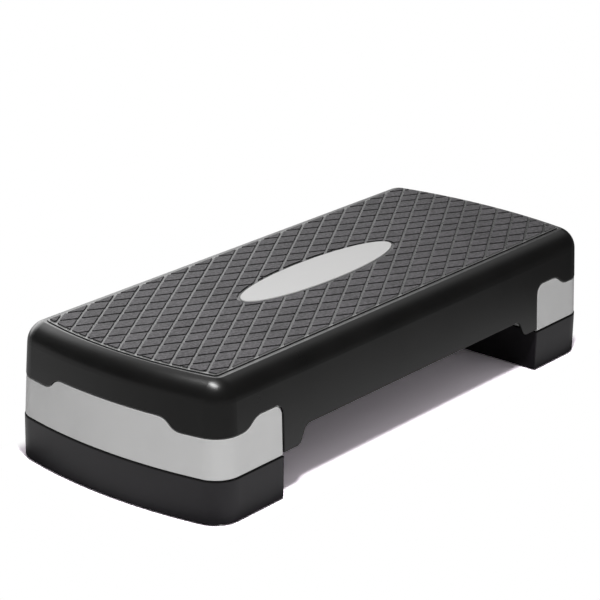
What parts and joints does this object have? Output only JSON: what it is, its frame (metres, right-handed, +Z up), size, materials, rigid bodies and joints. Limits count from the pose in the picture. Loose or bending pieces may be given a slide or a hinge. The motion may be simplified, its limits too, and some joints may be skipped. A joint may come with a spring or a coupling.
{
  "type": "aerobic step platform",
  "caption": "Low exercise step with a padded-grip deck on grey end legs and removable black risers that set its height.",
  "frame": {"origin": "on the floor under the middle of the platform, with the risers on", "axes": "+X along the length, towards the right-hand end; -Y the near long side; +Z up"},
  "size_m": [0.68, 0.28, 0.15],
  "materials": {
    "shell": "satin moulded black",
    "riser": "matt moulded black",
    "leg": "satin moulded light grey",
    "mat": "fine-grained dark grey",
    "plate": "satin pale grey",
    "pad": "matt black",
    "screw": "zinc plated"
  },
  "bodies": {
    "platform": {"platform_shell": "shell", "anti_slip_mat": "mat", "centre_plate": "plate", "leg_left": "leg", "leg_screw_1_left": "screw", "leg_pad_1_left": "pad", "leg_screw_2_left": "screw", "leg_pad_2_left": "pad", "leg_screw_3_left": "screw", "leg_pad_3_left": "pad", "leg_screw_4_left": "screw", "leg_pad_4_left": "pad", "leg_right": "leg", "leg_screw_1_right": "screw", "leg_pad_1_right": "pad", "leg_screw_2_right": "screw", "leg_pad_2_right": "pad", "leg_screw_3_right": "screw", "leg_pad_3_right": "pad", "leg_screw_4_right": "screw", "leg_pad_4_right": "pad"},
    "left_riser": {"riser_left": "riser", "riser_pad_1_left": "pad", "riser_pad_2_left": "pad", "riser_pad_3_left": "pad", "riser_pad_4_left": "pad"},
    "right_riser": {"riser_right": "riser", "riser_pad_1_right": "pad", "riser_pad_2_right": "pad", "riser_pad_3_right": "pad", "riser_pad_4_right": "pad"}
  },
  "joints": [
    {"name": "left_riser_pull", "type": "slide", "parent": "platform", "child": "left_riser", "axis": [0, 0, -1], "range_m": [0, 0.06]},
    {"name": "right_riser_pull", "type": "slide", "parent": "platform", "child": "right_riser", "axis": [0, 0, -1], "range_m": [0, 0.06]}
  ]
}
